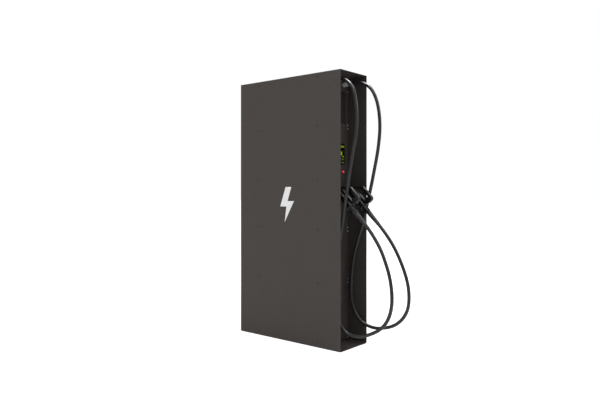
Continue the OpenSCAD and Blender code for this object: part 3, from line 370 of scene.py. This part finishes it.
def dress_cad_nodes():
    """The material of its slot on each CAD node, and on a few of them a darker or lighter copy: painted
    shade on the air grille and the release triggers, painted light on the clamp nuts.
    """
    slots = {row["node"]: row["material_slot"] for row in frame["record"]["subparts"]}
    for name, node in NODES.items():
        node.data.materials.clear()
        node.data.materials.append(MATERIALS[slots[name]])
    # Painted shade on the air grille
    NODES["air_grille"].data.materials[0] = MATERIALS["grille_paint_painted_shade"]
    for side in ("left", "right"):
        # Painted light on the clamp nuts
        NODES[side + "_clamp_nut"].data.materials[0] = MATERIALS["clamp_plastic_painted_light"]
        # Painted shade on the release triggers, inside the grip loops
        NODES[side + "_release_trigger"].data.materials[0] = MATERIALS["trigger_plastic_painted_shade"]


GLASS_LOW, GLASS_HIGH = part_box("display_glass")


def flat_figure(name, material, front_y, outlines):
    """Thin flat figures, each an outline of (x, z) points, just proud of a face that looks along -Y."""
    mesh = bpy.data.meshes.new(name)
    build = bmesh.new()
    for outline in outlines:
        front = [build.verts.new((x, front_y - GRAPHIC_LIFT, z)) for x, z in outline]
        back = [build.verts.new((x, front_y + GRAPHIC_SINK, z)) for x, z in outline]
        build.faces.new(front)
        build.faces.new(reversed(back))
        for i in range(len(front)):
            j = (i + 1) % len(front)
            build.faces.new((front[j], front[i], back[i], back[j]))
    bmesh.ops.recalc_face_normals(build, faces=build.faces)
    build.to_mesh(mesh)
    build.free()
    mesh.materials.append(material)
    piece = bpy.data.objects.new(name, mesh)
    bpy.context.scene.collection.objects.link(piece)
    return piece


def display_graphic(name, material, outlines):
    """A lit figure on the display's glass."""
    piece = flat_figure(name, material, GLASS_LOW.y, outlines)
    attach(piece, BODY)


def rounded_bar(x0, x1, z0, z1, radius, steps=5):
    """The outline of a bar with round corners."""
    points = []
    for x, z, start in (
        (x1 - radius, z1 - radius, 0), (x0 + radius, z1 - radius, 90),
        (x0 + radius, z0 + radius, 180), (x1 - radius, z0 + radius, 270),
    ):
        for i in range(steps + 1):
            angle = math.radians(start + 90 * i / steps)
            points.append((x + radius * math.cos(angle), z + radius * math.sin(angle)))
    return points


def chevron(x, z, half, drop, thick):
    """The outline of an arrow that points down, with its upper ends at height z."""
    return [
        (x - half, z), (x - half + thick, z), (x, z - drop + thick * 0.6), (x + half - thick, z),
        (x + half, z), (x + thick * 0.5, z - drop - thick * 0.4), (x - thick * 0.5, z - drop - thick * 0.4),
    ]


def dress_display():
    """A plain charging screen: a bar across the top, a level block for each outlet and rows of arrows."""
    lime = lit_material("lit_lime", srgb(136, 158, 0), 0.82)
    yellow = lit_material("lit_yellow", srgb(112, 130, 4), 0.8)
    green = lit_material("lit_green", srgb(80, 116, 42), 0.66)
    grey = lit_material("lit_grey", srgb(46, 46, 50), 0.6)
    top = GLASS_HIGH.z

    def bar(x, half, below, corner):
        return rounded_bar(x - half, x + half, top - below[0], top - below[1], corner)

    display_graphic("display_top_bar", yellow, [bar(0.0, TOP_BAR_HALF, TOP_BAR, 0.003)])
    blocks = [bar(s * LEVEL_BLOCK_ACROSS, LEVEL_BLOCK_HALF, LEVEL_BLOCK, 0.003) for s in (-1, 1)]
    feet = [bar(x, LEVEL_FOOT_HALF, LEVEL_FOOT, 0.0025) for x in OUTLETS]
    display_graphic("display_levels", lime, blocks + feet)
    captions = [bar(x, CAPTION_HALF, CAPTION, 0.001) for x in OUTLETS]
    display_graphic("display_captions", grey, captions)
    arrows = [
        chevron(x, top - below, ARROW_HALF, ARROW_DROP, ARROW_THICK)
        for x in ARROW_COLUMNS for below in ARROW_ROWS
    ]
    display_graphic("display_arrows", green, arrows)


def paint_button_highlight():
    """A painted highlight across the front of the stop button's cap: a faintly glowing white band."""
    low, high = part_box("stop_button_cap")
    # Painted highlight: white, with a faint glow of its own
    highlight_material = lit_material("button_painted_highlight", srgb(240, 240, 240), 0.35)
    x, z = (low.x + high.x) / 2, (low.z + high.z) / 2
    outline = rounded_bar(
        x - HIGHLIGHT_HALF, x + HIGHLIGHT_HALF, z - HIGHLIGHT_HALF_HEIGHT, z + HIGHLIGHT_HALF_HEIGHT, HIGHLIGHT_CORNER)
    band = flat_figure("stop_button_painted_highlight", highlight_material, low.y, [outline])
    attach(band, "stop_button")


def level_by_ray(nodes, links, reflected, diffuse):
    """1 where the camera looks, and a level of its own for reflections and for diffuse light."""
    path = nodes.new("ShaderNodeLightPath")
    level = None
    for kind, strength in (
        ("Is Camera Ray", 1.0), ("Is Transmission Ray", 1.0),
        ("Is Glossy Ray", reflected), ("Is Diffuse Ray", diffuse),
    ):
        scale = nodes.new("ShaderNodeMath")
        scale.operation = "MULTIPLY"
        links.new(path.outputs[kind], scale.inputs[0])
        if isinstance(strength, float):
            scale.inputs[1].default_value = strength
        else:
            links.new(strength, scale.inputs[1])
        if level is None:
            level = scale.outputs[0]
            continue
        brighter = nodes.new("ShaderNodeMath")
        brighter.operation = "MAXIMUM"
        links.new(level, brighter.inputs[0])
        links.new(scale.outputs[0], brighter.inputs[1])
        level = brighter.outputs[0]
    return level


def make_stage():
    """A pale floor that the camera sees as white, apart from the shadow that it keeps."""
    mesh = bpy.data.meshes.new("floor")
    corners = [(x * FLOOR_SIZE, y * FLOOR_SIZE, 0) for x, y in ((-1, -1), (1, -1), (1, 1), (-1, 1))]
    mesh.from_pydata(corners, [], [(0, 1, 2, 3)])
    floor = bpy.data.objects.new("floor", mesh)
    bpy.context.scene.collection.objects.link(floor)
    material = bpy.data.materials.new("floor")
    material.use_nodes = True
    nodes, links = material.node_tree.nodes, material.node_tree.links
    shader = nodes["Principled BSDF"]
    shader.inputs["Base Color"].default_value = (0.9, 0.9, 0.9, 1.0)
    shader.inputs["Roughness"].default_value = 0.9
    shader.inputs["Specular IOR Level"].default_value = 0.0
    shader.inputs["Emission Color"].default_value = (1.0, 1.0, 1.0, 1.0)
    geometry = nodes.new("ShaderNodeNewGeometry")
    distance = nodes.new("ShaderNodeVectorMath")
    distance.operation = "LENGTH"
    links.new(geometry.outputs["Position"], distance.inputs[0])
    glow = nodes.new("ShaderNodeMapRange")
    glow.interpolation_type = "SMOOTHSTEP"
    glow.inputs["From Min"].default_value = FLOOR_NEAR
    glow.inputs["From Max"].default_value = FLOOR_FAR
    glow.inputs["To Min"].default_value = FLOOR_GLOW
    glow.inputs["To Max"].default_value = 1.0
    links.new(distance.outputs["Value"], glow.inputs["Value"])
    lit = nodes.new("ShaderNodeMath")
    lit.operation = "MULTIPLY"
    links.new(level_by_ray(nodes, links, REFLECTED_FLOOR, FLOOR_BOUNCE), lit.inputs[0])
    links.new(glow.outputs["Result"], lit.inputs[1])
    links.new(lit.outputs[0], shader.inputs["Emission Strength"])
    mesh.materials.append(material)


def make_world():
    """White where the camera sees it, in reflections darker towards -X, and a low even light elsewhere."""
    world = bpy.data.worlds.new("studio")
    world.use_nodes = True
    bpy.context.scene.world = world
    nodes, links = world.node_tree.nodes, world.node_tree.links
    background = nodes["Background"]
    background.inputs["Color"].default_value = (1.0, 1.0, 1.0, 1.0)
    across = nodes.new("ShaderNodeSeparateXYZ")
    links.new(nodes.new("ShaderNodeTexCoord").outputs["Generated"], across.inputs[0])
    reflected = nodes.new("ShaderNodeMapRange")
    reflected.inputs["From Min"].default_value = -1.0
    reflected.inputs["From Max"].default_value = 1.0
    reflected.inputs["To Min"].default_value = REFLECTED_LEFT
    reflected.inputs["To Max"].default_value = REFLECTED_RIGHT
    links.new(across.outputs["X"], reflected.inputs["Value"])
    level = level_by_ray(nodes, links, reflected.outputs["Result"], SKY_LEVEL)
    links.new(level, background.inputs["Strength"])


def area_light(name, place, target, size, watts, diffuse, glossy):
    """A square light that looks at its target."""
    data = bpy.data.lights.new(name, "AREA")
    data.shape = "SQUARE"
    data.size = size
    data.energy = watts
    light = bpy.data.objects.new(name, data)
    bpy.context.scene.collection.objects.link(light)
    light.location = place
    light.rotation_mode = "QUATERNION"
    light.rotation_quaternion = (Vector(target) - Vector(place)).to_track_quat("-Z", "Y")
    light.visible_diffuse = diffuse
    light.visible_glossy = glossy


make_camera()
cables = [
    make_cable("left_cable_jacket", LEFT_ROUTE, "left"),
    make_cable("right_cable_jacket", RIGHT_ROUTE, "right"),
]
for cable in cables:
    cable.data.materials.append(MATERIALS["cable_rubber"])
dress_cad_nodes()
dress_display()
paint_button_highlight()
make_stage()
make_world()
for light in LIGHTS:
    area_light(*light)

bpy.context.scene.view_settings.view_transform = "Standard"

# The boxes of new objects are right only after an update
bpy.context.view_layer.update()
